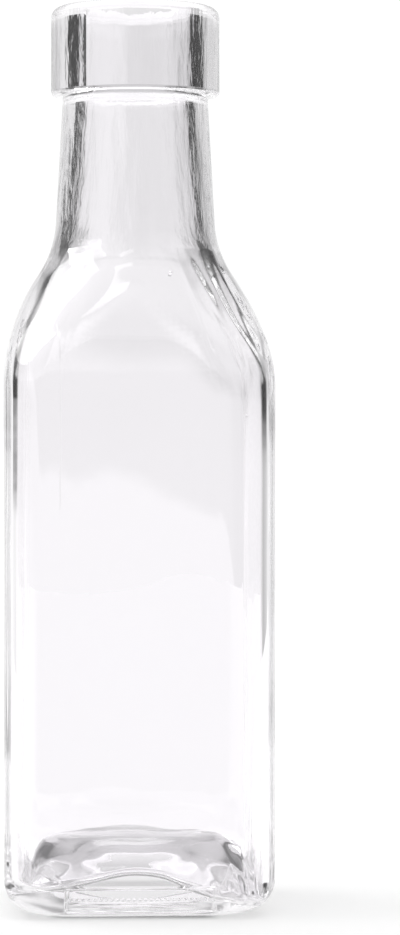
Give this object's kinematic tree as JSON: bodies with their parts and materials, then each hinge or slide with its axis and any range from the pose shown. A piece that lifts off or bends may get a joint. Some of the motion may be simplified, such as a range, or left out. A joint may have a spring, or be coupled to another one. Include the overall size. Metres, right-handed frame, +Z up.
{
  "type": "square glass bottle",
  "caption": "Open clear glass bottle with a square body, sloping shoulders, a round neck and a plain banded cork finish.",
  "frame": {"origin": "centre of the bottle's footprint, on the surface it stands on", "axes": "+Z up along the neck, -Y out of the front face, +X to the right seen from the front"},
  "size_m": [0.0488, 0.0488, 0.165],
  "materials": {
    "glass": "clear, colourless, slightly wavy pressed glass"
  },
  "bodies": {
    "root": {"bottle": "glass"}
  },
  "joints": []
}
